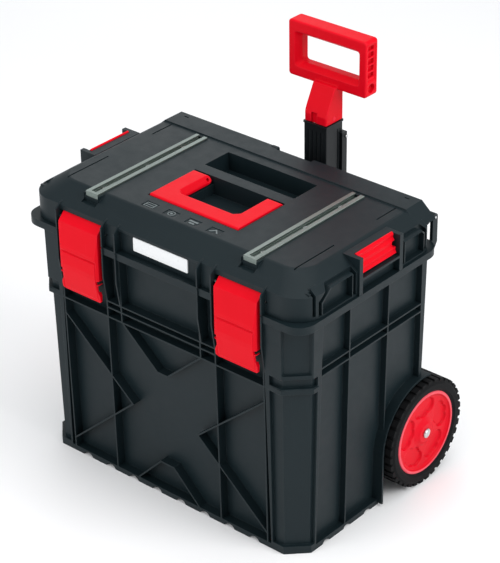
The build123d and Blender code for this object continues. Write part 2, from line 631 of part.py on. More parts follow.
# ---------------------------------------------------------------- latches
for side, s in (("left", -1), ("right", 1)):
    cx = s * latch_x
    with BuildPart() as latch:
        # front plate with bevelled head and stepped lower tab
        with BuildSketch(Plane.YZ.offset(cx - latch_hw)):
            with BuildLine():
                Polyline((-286.4, 423.0), (-288.6, 423.2), (-300.2, 411.5), (-304.2, 374.5), (-304.2, 368.5),
                         (-302.4, 366.8), (-303.6, 346), (-303.0, 338), (-297.8, 298.5), (-296.0, 297),
                         (-294.6, 298.5), (-300.4, 338), (-299.2, 367), (-299.6, 392), (-296.4, 405.5),
                         (-286.4, 415.5), (-286.4, 423.0))
            make_face()
        extrude(amount=2 * latch_hw)
        # raised pull plate on the lower half
        with BuildSketch(Plane.YZ.offset(cx - latch_hw + 6.5)):
            with BuildLine():
                Polyline((-301.6, 364.6), (-304.4, 363.8), (-305.2, 346), (-304.6, 338), (-299.4, 303.5),
                         (-298.2, 302), (-297.8, 303), (-302, 338), (-301.6, 364.6))
            make_face()
        extrude(amount=2 * latch_hw - 11)
        # cheeks
        for k in (-1, 1):
            with BuildSketch(Plane.YZ.offset(cx + k * (latch_hw - 1.6) - 1.6)):
                with BuildLine():
                    Polyline((-300, 411), (-287, 421), (-285.0, 414), (-289.6, 397), (-290.5, 345),
                             (-294.2, 312), (-295.4, 300), (-299, 300), (-304, 340), (-304, 372), (-300, 411))
                make_face()
            extrude(amount=3.2)
        # pivot barrel and catch nose under the rim
        with BuildSketch(Plane.YZ.offset(cx - latch_hw)):
            with Locations((latch_py, latch_pz)):
                Circle(4.6)
        extrude(amount=2 * latch_hw)
        with BuildSketch(Plane.YZ.offset(cx - 24)):
            with BuildLine():
                Polyline((-300.2, 370), (-300.2, 388), (-292, 387.0), (-288.7, 385), (-288.7, 381), (-291, 376),
                         (-300.2, 370))
            make_face()
        extrude(amount=48)
        # side notches at mid height
        for k in (-1, 1):
            with Locations((cx + k * latch_hw, -300, 333)):
                Box(9, 40, 6, mode=Mode.SUBTRACT)
            # lower tab narrows above its flared tip
            with BuildSketch(Plane.XZ.offset(280)):
                with BuildLine():
                    Polyline((cx + k * (latch_hw + 2), 330), (cx + k * (latch_hw - 3.4), 328),
                             (cx + k * (latch_hw - 3.4), 318), (cx + k * (latch_hw + 2), 306),
                             (cx + k * (latch_hw + 2), 330))
                make_face()
            extrude(amount=40, mode=Mode.SUBTRACT)
            # chamfered tab corners
            with BuildSketch(Plane.XZ.offset(280)):
                with BuildLine():
                    Polyline((cx + k * (latch_hw + 2), 303), (cx + k * (latch_hw - 8), 294),
                             (cx + k * (latch_hw + 2), 294), (cx + k * (latch_hw + 2), 303))
                make_face()
            extrude(amount=40, mode=Mode.SUBTRACT)
            # bevel down both long edges of the front face
            with BuildSketch(Plane.XY.offset(290)):
                with BuildLine():
                    Polyline((cx + k * (latch_hw + 1), -310), (cx + k * (latch_hw - 5.5), -310),
                             (cx + k * (latch_hw - 5.5), -305.6), (cx + k * (latch_hw + 1), -299.6),
                             (cx + k * (latch_hw + 1), -310))
                make_face()
            extrude(amount=118, mode=Mode.SUBTRACT)
        with BuildSketch(Plane.YZ.offset(cx - 60)):
            with Locations((latch_py, latch_pz)):
                Circle(2 + fit)
        extrude(amount=120, mode=Mode.SUBTRACT)
    save(latch, "latch_" + side)

with BuildPart() as latch_pins:
    for s in (-1, 1):
        with BuildSketch(Plane.YZ.offset(s * (pocket_in + pocket_out) / 2 - 46.4)):
            with Locations((latch_py, latch_pz)):
                Circle(2)
        extrude(amount=92.8)
save(latch_pins, "latch_pins")

# ---------------------------------------------------------------- stacking clips
clip_x, clip_z = 256.0, 424.0
for side, s in (("left", -1), ("right", 1)):
    with BuildPart() as clip:
        with BuildSketch(Plane.XZ.offset(124 - 40.6)):
            with BuildLine():
                Polyline((s * 253.2, 421.8), (s * 250.6, 449.5), (s * 250.4, 453.2), (s * 252.6, 454.2),
                         (s * 255.4, 451), (s * 254.4, 446.5), (s * 257.4, 441.5), (s * 256.6, 436.5),
                         (s * 259.6, 432), (s * 259, 427.5), (s * 261.2, 423.4), (s * 258.6, 420.9),
                         (s * 253.2, 421.8))
            make_face()
            with Locations((s * clip_x, clip_z)):
                Circle(3.2)
        extrude(amount=81.2)
        # stepped side notches
        for k in (-1, 1):
            with Locations((s * 257, -124 + k * 40.6, 437)):
                Box(12, 11, 9, mode=Mode.SUBTRACT)
        with BuildSketch(Plane.XZ.offset(124 - 45)):
            with Locations((s * clip_x, clip_z)):
                Circle(1.5 + fit)
        extrude(amount=90, mode=Mode.SUBTRACT)
    save(clip, "clip_" + side)

with BuildPart() as clip_pins:
    for s in (-1, 1):
        with BuildSketch(Plane.XZ.offset(124 - 46)):
            with Locations((s * clip_x, clip_z)):
                Circle(1.5)
        extrude(amount=92)
save(clip_pins, "clip_pins")

# ---------------------------------------------------------------- label and icons
with BuildPart() as label_plate:
    with BuildSketch(Plane.XZ.offset(285.6)):
        with Locations((0, 414.4)):
            RectangleRounded(104, 22, 1.8)
    extrude(amount=2.0)
    chamfer(label_plate.faces().sort_by(Axis.Y)[0].edges(), 0.4)
save(label_plate, "label_plate")

with BuildPart() as icon_inlays:
    with Locations((-61.5, -239, 453.2)):          # crate outline
        Box(18, 11, 0.7, align=(Align.CENTER, Align.CENTER, Align.MIN))
        Box(15.4, 8.4, 0.7, align=(Align.CENTER, Align.CENTER, Align.MIN), mode=Mode.SUBTRACT)
        Box(18, 1.4, 0.7, align=(Align.CENTER, Align.CENTER, Align.MIN))
    with Locations((-20.5, -239, 453.2)):          # drop in a ring
        Cylinder(6, 0.7, align=(Align.CENTER, Align.CENTER, Align.MIN))
        Cylinder(4.6, 0.7, align=(Align.CENTER, Align.CENTER, Align.MIN), mode=Mode.SUBTRACT)
        Cylinder(2.2, 0.7, align=(Align.CENTER, Align.CENTER, Align.MIN))
    with Locations((20.5, -239, 453.2)):           # two stacked bars
        Box(16, 3.4, 0.7, align=(Align.CENTER, Align.MIN, Align.MIN))
    with Locations((20.5, -241, 453.2)):
        Box(10, 3.4, 0.7, align=(Align.CENTER, Align.MAX, Align.MIN))
    with BuildSketch(Plane.XY.offset(453.2)):      # chevron
        with BuildLine():
            Polyline((53, -243.5), (61.5, -234.5), (70, -243.5), (67, -243.5), (61.5, -237.6),
                     (56, -243.5), (53, -243.5))
        make_face()
    extrude(amount=0.7)
save(icon_inlays, "icon_inlays")

# ---------------------------------------------------------------- hinge pins
with BuildPart() as hinge_pins:
    for s in (-1, 1):
        with BuildSketch(Plane.YZ.offset(s * 224 - 25.6)):
            with Locations((hinge_y, hinge_z)):
                Circle(2)
        extrude(amount=51.2)
save(hinge_pins, "hinge_pins")

# ---------------------------------------------------------------- axle and wheels
with BuildPart() as axle:
    with BuildSketch(Plane.YZ.offset(-273.5)):
        with Locations((wheel_y, wheel_z)):
            Circle(axle_r)
    extrude(amount=547)
    chamfer(axle.edges().filter_by(GeomType.CIRCLE), 0.8)
save(axle, "axle")

with BuildPart() as axle_spacers:
    for s in (-1, 1):
        with BuildSketch(Plane.YZ.offset(s * 211.4 - 3.0)):
            with Locations((wheel_y, wheel_z)):
                Circle(11)
                Circle(axle_r, mode=Mode.SUBTRACT)
        extrude(amount=6.0)
save(axle_spacers, "axle_spacers")

with BuildPart() as axle_caps:
    for s in (-1, 1):
        with BuildSketch(Plane.YZ.offset(s * 271.6 - 0.7)):
            with Locations((wheel_y, wheel_z)):
                Circle(7.4)
                Circle(axle_r, mode=Mode.SUBTRACT)
        extrude(amount=1.4)
save(axle_caps, "axle_caps")

for side, s in (("left", -1), ("right", 1)):
    with BuildPart() as rim:
        # section turned about the axle line, outer face towards +X
        with BuildSketch(Plane.XY):
            with BuildLine():
                Polyline((215.2, axle_r + fit), (270.4, axle_r + fit), (270.4, 15), (268.4, 17.5),
                         (265.6, 24), (265.6, 57), (267.4, 60.5), (270.2, 62), (270.2, 65.6), (268.6, rim_r),
                         (218, rim_r), (218, 62), (256, 60), (257, 24), (215.2, 16), (215.2, axle_r + fit))
            make_face()
        revolve(axis=Axis.X, revolution_arc=360)
        # five shallow rounded pockets between the spokes
        with BuildSketch(Plane.YZ.offset(262.0)):
            with PolarLocations(36.5, 5, start_angle=90):
                Circle(10.5)
            with PolarLocations(43, 5, start_angle=75):
                Circle(11.5)
            with PolarLocations(43, 5, start_angle=105):
                Circle(11.5)
            with PolarLocations(45, 5, start_angle=90):
                Circle(11)
        extrude(amount=14, taper=-24, mode=Mode.SUBTRACT)
        # inner stiffening webs
        with BuildSketch(Plane.YZ.offset(222)):
            with PolarLocations(38, 5, start_angle=54):
                Rectangle(46, 3)
        extrude(amount=26)
    rim_shape = rim.part if s > 0 else mirror(rim.part, about=Plane.YZ)
    with BuildPart() as wheel:
        add(rim_shape.moved(Location((0, wheel_y, wheel_z))))
    save(wheel, "wheel_rim_" + side)

    with BuildPart() as tread:
        with BuildSketch(Plane.XY):
            with BuildLine():
                Polyline((tyre_x0 + 1.5, rim_r), (tyre_x0, rim_r + 4), (tyre_x0, 79), (tyre_x0 + 4, tyre_base_r),
                         (tyre_x1 - 4, tyre_base_r), (tyre_x1, 79), (tyre_x1, rim_r + 4),
                         (tyre_x1 - 3, rim_r), (tyre_x0 + 1.5, rim_r))
            make_face()
        revolve(axis=Axis.X, revolution_arc=360)
        # staggered tread blocks, two rows
        with BuildSketch(Plane.YZ.offset(tyre_x0 + 2.2)):
            with PolarLocations(tyre_r - 3.4, 36, start_angle=0):
                Rectangle(6.8, 9.2)
        extrude(amount=24)
        with BuildSketch(Plane.YZ.offset(tyre_x1 - 26.2)):
            with PolarLocations(tyre_r - 3.4, 36, start_angle=5):
                Rectangle(6.8, 9.2)
        extrude(amount=24)
        with BuildSketch(Plane.YZ.offset(tyre_x0 + 26)):
            Circle(tyre_r - 1.2)
            Circle(80, mode=Mode.SUBTRACT)
        extrude(amount=5)
        with BuildSketch(Plane.YZ.offset(tyre_x0 - 1)):
            Circle(tyre_r + 12)
            Circle(tyre_r, mode=Mode.SUBTRACT)
        extrude(amount=60, mode=Mode.SUBTRACT)
    tread_shape = tread.part if s > 0 else mirror(tread.part, about=Plane.YZ)
    with BuildPart() as tyre:
        add(tread_shape.moved(Location((0, wheel_y, wheel_z))))
    save(tyre, "tyre_" + side)


# ---------------------------------------------------------------- pull handle: guide housing
ch_hw, ch_y0, ch_y1 = mast_hw + 0.5, mast_y0 - 0.5, mast_y1 + 0.5
hous_z0, hous_z1 = 26.0, 382.0
hous_hw, hous_y0, hous_y1 = 33.0, 51.6, 111.0
collar_z0, collar_z1 = 374.0, 386.0
spine_x0, spine_x1, spine_y1 = 6.0, 26.0, 101.4
spine_z0, spine_z1 = 340.0, 469.0
spine_pin_y, spine_pin_z = 99.0, 461.5
with BuildPart() as mast_housing:
    with BuildSketch(Plane.XY.offset(hous_z0)):
        with Locations((0, (hous_y0 + hous_y1) / 2)):
            RectangleRounded(2 * hous_hw, hous_y1 - hous_y0, 3)
    extrude(amount=hous_z1 - hous_z0)
    # top collar
    with BuildSketch(Plane.XY.offset(collar_z0)):
        with Locations((0, 80.5)):
            RectangleRounded(78, 66, 4)
    extrude(amount=collar_z1 - collar_z0)
    # lightening windows through the back wall, left half
    with Locations(*[(-9, hous_y1, z) for z in (60, 108, 212, 260, 300)]):
        Box(26, 30, 26, align=(Align.CENTER, Align.CENTER, Align.MIN), mode=Mode.SUBTRACT)
    # channel for the mast, closed at the bottom, with grooves for its teeth and spine
    with BuildSketch(Plane.XY.offset(hous_z0 + 2)):
        with Locations((0, (ch_y0 + ch_y1) / 2)):
            Rectangle(2 * ch_hw, ch_y1 - ch_y0)
        with Locations((-ch_hw, 66)):
            Rectangle(6.4, 12)
        with Locations(((spine_x0 + 29.2 - 0.5) / 2, (89.4 + 107) / 2)):
            Rectangle(29.2 - spine_x0 + 0.5, 17.6)
    extrude(amount=500, mode=Mode.SUBTRACT)
    # seat of the steel stop pin in the collar's front edge
    with BuildSketch(Plane.YZ.offset(-31)):
        with Locations((51.2, 382)):
            Circle(2.0)
    extrude(amount=62, mode=Mode.SUBTRACT)
    with Locations((-12, 45, 377)):
        Box(16, 9.4, 14, align=(Align.CENTER, Align.MIN, Align.MIN), mode=Mode.SUBTRACT)
save(mast_housing, "mast_housing")

with BuildPart() as collar_pin:
    with BuildSketch(Plane.YZ.offset(-30)):
        with Locations((51.2, 382)):
            Circle(2.0)
    extrude(amount=60)
save(collar_pin, "collar_pin")

with BuildPart() as spine_pin:
    with BuildSketch(Plane.YZ.offset(20)):
        with Locations((spine_pin_y, spine_pin_z)):
            Circle(1.5)
    extrude(amount=6.2)
    with BuildSketch(Plane.YZ.offset(26.2)):
        with Locations((spine_pin_y, spine_pin_z)):
            Circle(2.4)
    extrude(amount=2.2)
    chamfer(spine_pin.faces().sort_by(Axis.X)[-1].edges(), 0.6)
save(spine_pin, "spine_pin")

# ---------------------------------------------------------------- brackets holding the housing
for name, z0 in (("bracket_upper", 330.0), ("bracket_lower", 148.0)):
    with BuildPart() as bracket:
        with Locations((0, 12.0, z0)):
            Box(136, 5, 42, align=(Align.CENTER, Align.MIN, Align.MIN))
        for k in (-1, 1):
            with BuildSketch(Plane.XY.offset(z0)):
                with BuildLine():
                    Polyline((k * 33, 16), (k * 56, 16), (k * 39, 40), (k * 39, 117), (k * 33, 117),
                             (k * 33, 16))
                make_face()
            extrude(amount=42)
        with Locations((0, 111, z0)):
            Box(72, 6, 42, align=(Align.CENTER, Align.MIN, Align.MIN))
        with Locations((0, 46.4, z0)):
            Box(72, 5.2, 42, align=(Align.CENTER, Align.MIN, Align.MIN))
        # screw holes
        with Locations(*[(x, 20, z0 + dz) for x in (-62, 62) for dz in (10, 32)]):
            Cylinder(2.2, 20, rotation=(90, 0, 0), mode=Mode.SUBTRACT)
    save(bracket, name)

with BuildPart() as bracket_screws:
    for z0 in (330.0, 148.0):
        for x in (-62, 62):
            for dz in (10, 32):
                with BuildSketch(Plane.XZ.offset(-12.0)):
                    with Locations((x, z0 + dz)):
                        Circle(2.2)
                extrude(amount=-5)
                with BuildSketch(Plane.XZ.offset(-17.0)):
                    with Locations((x, z0 + dz)):
                        Circle(4.4)
                extrude(amount=-2.6)
    chamfer(bracket_screws.faces().sort_by(Axis.Y)[-8:].edges(), 0.6)
save(bracket_screws, "bracket_screws")

# ---------------------------------------------------------------- outer mast stage
with BuildPart() as mast_outer:
    with BuildSketch(Plane.XY.offset(mast_bot)):
        with Locations((0, (mast_y0 + mast_y1) / 2)):
            Rectangle(2 * mast_hw, mast_y1 - mast_y0)
    extrude(amount=mast_top - mast_bot)
    fillet(mast_outer.edges().filter_by(Axis.Z), 2.2)
    # shallow flutes on the front and both flanks
    with Locations(*[(x, mast_y0, mast_bot + 10) for x in (-12, -4, 4, 12)]):
        Box(3.2, 1.8, mast_top - mast_bot - 22, align=(Align.CENTER, Align.CENTER, Align.MIN),
            mode=Mode.SUBTRACT)
    for k in (-1, 1):
        with Locations(*[(k * mast_hw, y, mast_bot + 10) for y in (84, 90)]):
            Box(1.6, 2.4, mast_top - mast_bot - 22, align=(Align.CENTER, Align.CENTER, Align.MIN),
                mode=Mode.SUBTRACT)
    # detent teeth on one flank
    for z in (481.0, 471.0, 461.0):
        with BuildSketch(Plane.YZ.offset(-mast_hw - 2.6)):
            with Locations((66, z)):
                RectangleRounded(8, 5, 1.2)
        extrude(amount=4)
    # narrow lip round the mouth
    with BuildSketch(Plane.XY.offset(mast_top - 2.6)):
        with Locations((0, (mast_y0 + mast_y1) / 2)):
            RectangleRounded(2 * mast_hw + 2.6, mast_y1 - mast_y0 + 2.6, 3)
    extrude(amount=2.6)
    # spine on the back, carrying the strap pin
    with Locations(((spine_x0 + spine_x1) / 2, 90, spine_z0)):
        Box(spine_x1 - spine_x0, spine_y1 - 90, spine_z1 - spine_z0,
            align=(Align.CENTER, Align.MIN, Align.MIN))
    with BuildSketch(Plane.YZ.offset(20)):
        with Locations((spine_pin_y, spine_pin_z)):
            Circle(1.5)
    extrude(amount=20, mode=Mode.SUBTRACT)
    # bore for the inner stage
    with BuildSketch(Plane.XY.offset(mast_bot - 1)):
        with Locations((0, (mast_y0 + mast_y1) / 2)):
            Rectangle(2 * 17.8, 34.2)
    extrude(amount=400, mode=Mode.SUBTRACT)
save(mast_outer, "mast_outer")

# ---------------------------------------------------------------- inner mast stage
with BuildPart() as mast_inner:
    with BuildSketch(Plane.XY.offset(mast_bot + 12)):
        with Locations((0, (mast_y0 + mast_y1) / 2)):
            RectangleRounded(34.8, 33.4, 3)
            RectangleRounded(31.2, 29.8, 2, mode=Mode.SUBTRACT)
    extrude(amount=mast_top - 0.2 - mast_bot - 12)
save(mast_inner, "mast_inner")

with BuildPart() as mast_plug:
    with BuildSketch(Plane.XY.offset(mast_bot + 8)):
        with Locations((0, (mast_y0 + mast_y1) / 2)):
            RectangleRounded(34.6, 33.2, 3)
    extrude(amount=4)
    with BuildSketch(Plane.XY.offset(mast_bot + 12)):
        with Locations((0, (mast_y0 + mast_y1) / 2)):
            RectangleRounded(31.0, 29.6, 2)
    extrude(amount=16)
save(mast_plug, "mast_plug")

# ---------------------------------------------------------------- handle head
with BuildPart() as handle_head:
    # loop
    with BuildSketch(Plane.XZ.offset(-loop_y1)):
        with Locations((0, (loop_z0 + loop_z1) / 2)):
            RectangleRounded(2 * loop_hw, loop_z1 - loop_z0, 5)
    extrude(amount=loop_y1 - loop_y0)
    fillet(handle_head.faces().sort_by(Axis.Y)[0].outer_wire().edges(), 2.6)
    fillet(handle_head.faces().sort_by(Axis.Y)[-1].outer_wire().edges(), 2.6)
    with BuildSketch(Plane.XZ.offset(-loop_y1 - 1)):
        with Locations((0, 586)):
            RectangleRounded(108, 44, 4)
    extrude(amount=loop_y1 - loop_y0 + 2, mode=Mode.SUBTRACT)
    # wide bevels into the grip opening, front and back
    with BuildSketch(Plane.XZ.offset(-loop_y0 + 0.01)):
        with Locations((0, 586)):
            RectangleRounded(123, 57, 6)
    with BuildSketch(Plane.XZ.offset(-loop_y0 - 9)):
        with Locations((0, 586)):
            RectangleRounded(108, 44, 4)
    loft(ruled=True, mode=Mode.SUBTRACT)
    with BuildSketch(Plane.XZ.offset(-loop_y1 - 0.01)):
        with Locations((0, 586)):
            RectangleRounded(118, 54, 6)
    with BuildSketch(Plane.XZ.offset(-loop_y1 + 6)):
        with Locations((0, 586)):
            RectangleRounded(108, 44, 4)
    loft(ruled=True, mode=Mode.SUBTRACT)
    # neck, sloping back from the mast to the loop
    with BuildPart(mode=Mode.PRIVATE) as neck:
        with BuildSketch(Plane.YZ.offset(-20.9)):
            with BuildLine():
                Polyline((57.2, 490), (57.2, 503), (62, 514), (78.5, 546), (96.8, 546), (96.8, 490),
                         (57.2, 490))
            make_face()
        extrude(amount=41.8)
        fillet(neck.edges().filter_by(Axis.Z).group_by(Axis.Y)[0], 3)
    add(neck.part)
    # notch in the foot of the neck
    with Locations((-3, 55, 489)):
        Box(11, 6.5, 17, align=(Align.CENTER, Align.MIN, Align.MIN), mode=Mode.SUBTRACT)
    # spigot into the inner stage
    with BuildSketch(Plane.XY.offset(460)):
        with Locations((0, (mast_y0 + mast_y1) / 2)):
            RectangleRounded(31.0, 29.6, 2)
    extrude(amount=34)
    # cross-pin hole
    with BuildSketch(Plane.YZ.offset(-30)):
        with Locations((77, 497)):
            Circle(3.0)
    extrude(amount=60, mode=Mode.SUBTRACT)
    # end-face pockets and relief bars
    for k in (-1, 1):
        with Locations((k * (loop_hw - 1.6), 98, 595)):
            Box(4, 19, 58, align=(Align.MIN if k > 0 else Align.MAX, Align.CENTER, Align.CENTER),
                mode=Mode.SUBTRACT)
        with Locations((k * (loop_hw - 7), 98, 596)):
            Box(8, 13, 50, align=(Align.MIN if k > 0 else Align.MAX, Align.CENTER, Align.CENTER),
                mode=Mode.SUBTRACT)
        with Locations(*[(k * (loop_hw - 7.5), 98, z) for z in (580, 591, 602, 613)]):
            Box(5.4, 14, 2.6, align=(Align.MIN if k > 0 else Align.MAX, Align.CENTER, Align.CENTER))
        with BuildSketch(Plane.YZ.offset(k * (loop_hw - 7))):
            with Locations((98, 554)):
                Circle(7.2)
        extrude(amount=k * 8, mode=Mode.SUBTRACT)
save(handle_head, "handle_head")

with BuildPart() as head_pin:
    with BuildSketch(Plane.YZ.offset(-20.9)):
        with Locations((77, 497)):
            Circle(3.0)
    extrude(amount=41.8)
save(head_pin, "head_pin")
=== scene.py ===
import json
import math

import bmesh
import bpy
from mathutils import Matrix, Vector


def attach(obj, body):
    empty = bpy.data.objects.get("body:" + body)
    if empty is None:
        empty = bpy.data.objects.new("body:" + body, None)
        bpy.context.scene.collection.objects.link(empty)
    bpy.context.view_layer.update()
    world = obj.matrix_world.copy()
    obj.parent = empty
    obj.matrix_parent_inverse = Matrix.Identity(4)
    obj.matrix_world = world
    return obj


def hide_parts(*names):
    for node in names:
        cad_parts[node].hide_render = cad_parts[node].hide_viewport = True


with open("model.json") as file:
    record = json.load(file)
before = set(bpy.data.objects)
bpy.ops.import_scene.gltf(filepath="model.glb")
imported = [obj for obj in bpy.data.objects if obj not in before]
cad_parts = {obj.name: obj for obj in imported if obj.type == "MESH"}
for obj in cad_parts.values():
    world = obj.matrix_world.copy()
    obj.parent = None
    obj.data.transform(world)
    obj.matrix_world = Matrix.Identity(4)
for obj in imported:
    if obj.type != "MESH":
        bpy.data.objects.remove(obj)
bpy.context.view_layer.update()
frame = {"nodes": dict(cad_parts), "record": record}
nodes = frame["nodes"]
scene = bpy.context.scene


# ---------------------------------------------------------------- materials
class Net:
    """Small helper round a material's node tree."""

    def __init__(self, name):
        self.mat = bpy.data.materials.new(name)
        self.mat.use_nodes = True
        self.t = self.mat.node_tree
        self.t.nodes.clear()
        self.out = self.t.nodes.new("ShaderNodeOutputMaterial")
        self.bsdf = self.t.nodes.new("ShaderNodeBsdfPrincipled")
        self.t.links.new(self.bsdf.outputs[0], self.out.inputs[0])
        self.co = self.t.nodes.new("ShaderNodeTexCoord").outputs["Object"]

    def link(self, a, b):
        self.t.links.new(a, b)

    def mapped(self, scale):
        m = self.t.nodes.new("ShaderNodeMapping")
        m.inputs["Scale"].default_value = scale
        self.link(self.co, m.inputs["Vector"])
        return m.outputs[0]

    def noise(self, scale, detail=2.0, rough=0.5, co=None, distortion=0.0):
        n = self.t.nodes.new("ShaderNodeTexNoise")
        n.inputs["Scale"].default_value = scale
        n.inputs["Detail"].default_value = detail
        n.inputs["Roughness"].default_value = rough
        n.inputs["Distortion"].default_value = distortion
        self.link(co or self.co, n.inputs["Vector"])
        return n.outputs[0]

    def span(self, value, a, b, lo, hi):
        m = self.t.nodes.new("ShaderNodeMapRange")
        m.clamp = True
        for key, x in (("From Min", a), ("From Max", b), ("To Min", lo), ("To Max", hi)):
            m.inputs[key].default_value = x
        self.link(value, m.inputs["Value"])
        return m.outputs[0]

    def math(self, op, a, b):
        m = self.t.nodes.new("ShaderNodeMath")
        m.operation = op
        for k, x in enumerate((a, b)):
            if isinstance(x, (int, float)):
                m.inputs[k].default_value = x
            else:
                self.link(x, m.inputs[k])
        return m.outputs[0]

    def mix(self, fac, a, b):
        m = self.t.nodes.new("ShaderNodeMix")
        m.data_type = "RGBA"
        ins = {"Factor": fac, "A": a, "B": b}
        for i in m.inputs:
            if i.name == "Factor" and i.type == "VALUE":
                self.link(fac, i)
            elif i.name in ("A", "B") and i.type == "RGBA":
                x = ins[i.name]
                if isinstance(x, tuple):
                    i.default_value = (*x, 1.0)
                else:
                    self.link(x, i)
        return next(o for o in m.outputs if o.type == "RGBA")

    def edge(self, radius, lo=0.004, hi=0.12):
        """0 on flats, 1 along corners and edges, from how far a rounded normal leans off the true one."""
        bev = self.t.nodes.new("ShaderNodeBevel")
        bev.samples = 6
        bev.inputs["Radius"].default_value = radius
        geo = self.t.nodes.new("ShaderNodeNewGeometry")
        dot = self.t.nodes.new("ShaderNodeVectorMath")
        dot.operation = "DOT_PRODUCT"
        self.link(bev.outputs[0], dot.inputs[0])
        self.link(geo.outputs["Normal"], dot.inputs[1])
        inv = self.math("SUBTRACT", 1.0, dot.outputs["Value"])
        return self.span(inv, lo, hi, 0.0, 1.0)

    def bump(self, height, strength, distance, normal=None):
        b = self.t.nodes.new("ShaderNodeBump")
        b.inputs["Strength"].default_value = strength
        b.inputs["Distance"].default_value = distance
        self.link(height, b.inputs["Height"])
        if normal is not None:
            self.link(normal, b.inputs["Normal"])
        return b.outputs[0]

    def rounded(self, radius):
        bev = self.t.nodes.new("ShaderNodeBevel")
        bev.samples = 6
        bev.inputs["Radius"].default_value = radius
        return bev.outputs[0]


def plastic(name, base, alt, wear_and_highlight_tone, rough=0.5, grain=850.0, height=0.00022, edge_rub_and_highlight=0.35, spec=0.45, coat=0.0,
            soft=0.0006, crease_shade=None, lip_highlight_ring=None):
    n = Net(name)
    broad = n.noise(7.0, 3.0, 0.55)
    mottle = n.noise(60.0, 4.0, 0.6)
    fine = n.noise(grain, 2.0, 0.6)
    cloudy = n.mix(n.span(broad, 0.25, 0.75, 0.0, 1.0), base, alt)
    # scuffed corners plus a painted highlight along the edges, both in the wear tone, broken up so they are not even
    edge = n.edge(0.0011)
    patch = n.span(n.noise(140.0, 5.0, 0.65), 0.42, 0.68, 0.0, edge_rub_and_highlight)
    rub_and_edge_highlight = n.math("MULTIPLY", edge, patch)
    col = n.mix(rub_and_edge_highlight, cloudy, wear_and_highlight_tone)
    # long faint rub marks in two directions
    scr_a = n.span(n.noise(1.0, 2.0, 0.5, n.mapped((16.0, 520.0, 260.0))), 0.63, 0.74, 0.0, 1.0)
    scr_b = n.span(n.noise(1.0, 2.0, 0.5, n.mapped((540.0, 18.0, 22.0))), 0.64, 0.75, 0.0, 1.0)
    scr = n.math("MAXIMUM", scr_a, scr_b)
    col = n.mix(n.math("MULTIPLY", scr, 0.07), col, wear_and_highlight_tone)
    if crease_shade is not None:
        # painted shade in the creases of a rounded skin, painted highlight along its ridges
        bend = n.t.nodes.new("ShaderNodeNewGeometry").outputs["Pointiness"]
        col = n.mix(n.span(bend, 0.40, 0.492, 0.85, 0.0), col, crease_shade)
        col = n.mix(n.span(bend, 0.508, 0.60, 0.0, 0.45), col, wear_and_highlight_tone)
    if lip_highlight_ring is not None:
        # painted highlight on the wheel lip: a band between two radii about an axis along X
        cy, cz, r0, r1, tone = lip_highlight_ring
        xyz = n.t.nodes.new("ShaderNodeSeparateXYZ")
        n.link(n.co, xyz.inputs[0])
        dy = n.math("SUBTRACT", xyz.outputs["Y"], cy)
        dz = n.math("SUBTRACT", xyz.outputs["Z"], cz)
        rad = n.math("SQRT", n.math("ADD", n.math("MULTIPLY", dy, dy), n.math("MULTIPLY", dz, dz)), 0.0)
        band = n.math("MULTIPLY", n.span(rad, r0, r0 + 0.0008, 0.0, 1.0), n.span(rad, r1, r1 + 0.0008, 1.0, 0.0))
        col = n.mix(n.math("MULTIPLY", band, n.span(mottle, 0.25, 0.75, 0.42, 0.68)), col, tone)
    n.link(col, n.bsdf.inputs["Base Color"])
    r = n.span(mottle, 0.25, 0.75, rough - 0.05, rough + 0.05)
    r = n.math("ADD", r, n.math("MULTIPLY", n.span(broad, 0.3, 0.7, -1.0, 1.0), 0.015))
    r = n.math("SUBTRACT", r, n.math("MULTIPLY", edge, 0.08))
    r = n.math("ADD", r, n.math("MULTIPLY", scr, 0.05))
    n.link(r, n.bsdf.inputs["Roughness"])
    n.bsdf.inputs["Specular IOR Level"].default_value = spec
    n.bsdf.inputs["Coat Weight"].default_value = coat
    n.bsdf.inputs["Coat Roughness"].default_value = 0.22
    h = n.math("ADD", n.math("MULTIPLY", fine, 0.75), n.math("MULTIPLY", mottle, 0.25))
    n.link(n.bump(h, 0.35, height, n.rounded(soft)), n.bsdf.inputs["Normal"])
    return n.mat


def metal(name, base, alt, rough, brush, height=0.00006, aniso=0.4, edge_bright=(0.9, 0.9, 0.9)):
    n = Net(name)
    lines = n.noise(1.0, 3.0, 0.6, n.mapped(brush))
    broad = n.noise(30.0, 3.0, 0.5)
    col = n.mix(n.span(lines, 0.35, 0.65, 0.0, 1.0), base, alt)
    col = n.mix(n.math("MULTIPLY", n.edge(0.0006), 0.5), col, edge_bright)
    n.link(col, n.bsdf.inputs["Base Color"])
    n.bsdf.inputs["Metallic"].default_value = 1.0
    n.bsdf.inputs["Anisotropic"].default_value = aniso
    r = n.span(lines, 0.3, 0.7, rough - 0.06, rough + 0.1)
    r = n.math("ADD", r, n.math("MULTIPLY", n.span(broad, 0.3, 0.7, -1.0, 1.0), 0.04))
    n.link(r, n.bsdf.inputs["Roughness"])
    n.link(n.bump(lines, 0.3, height, n.rounded(0.0004)), n.bsdf.inputs["Normal"])
    return n.mat


def rubber(name, base, alt, wear_and_highlight_tone, rough=0.72, spec=0.35):
    n = Net(name)
    broad = n.noise(18.0, 4.0, 0.6)
    fine = n.noise(600.0, 3.0, 0.65)
    edge = n.edge(0.0012)
    dust = n.span(n.noise(55.0, 5.0, 0.7), 0.4, 0.72, 0.0, 0.55)
    col = n.mix(n.span(broad, 0.3, 0.7, 0.0, 1.0), base, alt)
    col = n.mix(n.math("MULTIPLY", edge, dust), col, wear_and_highlight_tone)
    n.link(col, n.bsdf.inputs["Base Color"])
    n.link(n.span(fine, 0.3, 0.7, rough - 0.08, rough + 0.1), n.bsdf.inputs["Roughness"])
    n.bsdf.inputs["Specular IOR Level"].default_value = spec
    n.link(n.bump(fine, 0.4, 0.0003, n.rounded(0.0007)), n.bsdf.inputs["Normal"])
    return n.mat
